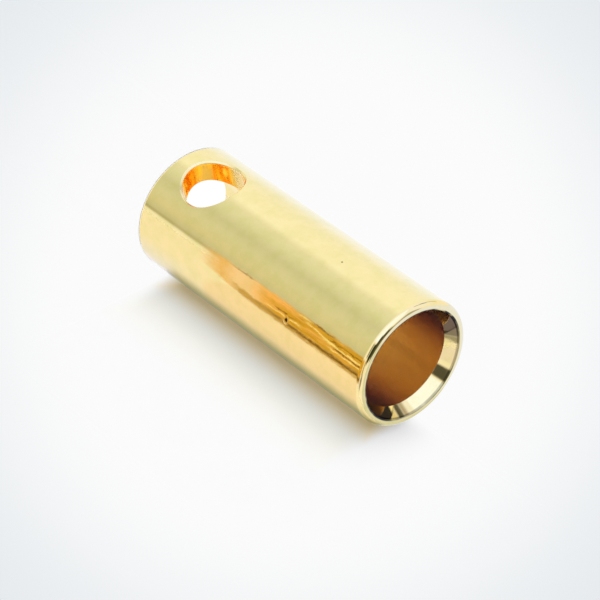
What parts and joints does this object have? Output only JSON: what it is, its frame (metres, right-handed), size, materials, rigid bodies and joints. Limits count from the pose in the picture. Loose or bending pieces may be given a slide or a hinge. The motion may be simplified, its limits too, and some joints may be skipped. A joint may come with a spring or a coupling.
{
  "type": "battery lead bullet connector socket",
  "caption": "Plain tubular female bullet connector: open socket with a countersunk mouth at one end, solder cup with a cross-drilled solder hole at the other, gold-plated.",
  "frame": {"origin": "centre of the rear face, the solder cup's end, on which the part stands", "axes": "+Z along the turning axis and out of the socket's mouth; the solder hole faces -Y"},
  "size_m": [0.008, 0.008, 0.02],
  "materials": {
    "gold_plate": "polished gold plate over turned brass"
  },
  "bodies": {
    "root": {"socket_body": "gold_plate"}
  },
  "joints": []
}
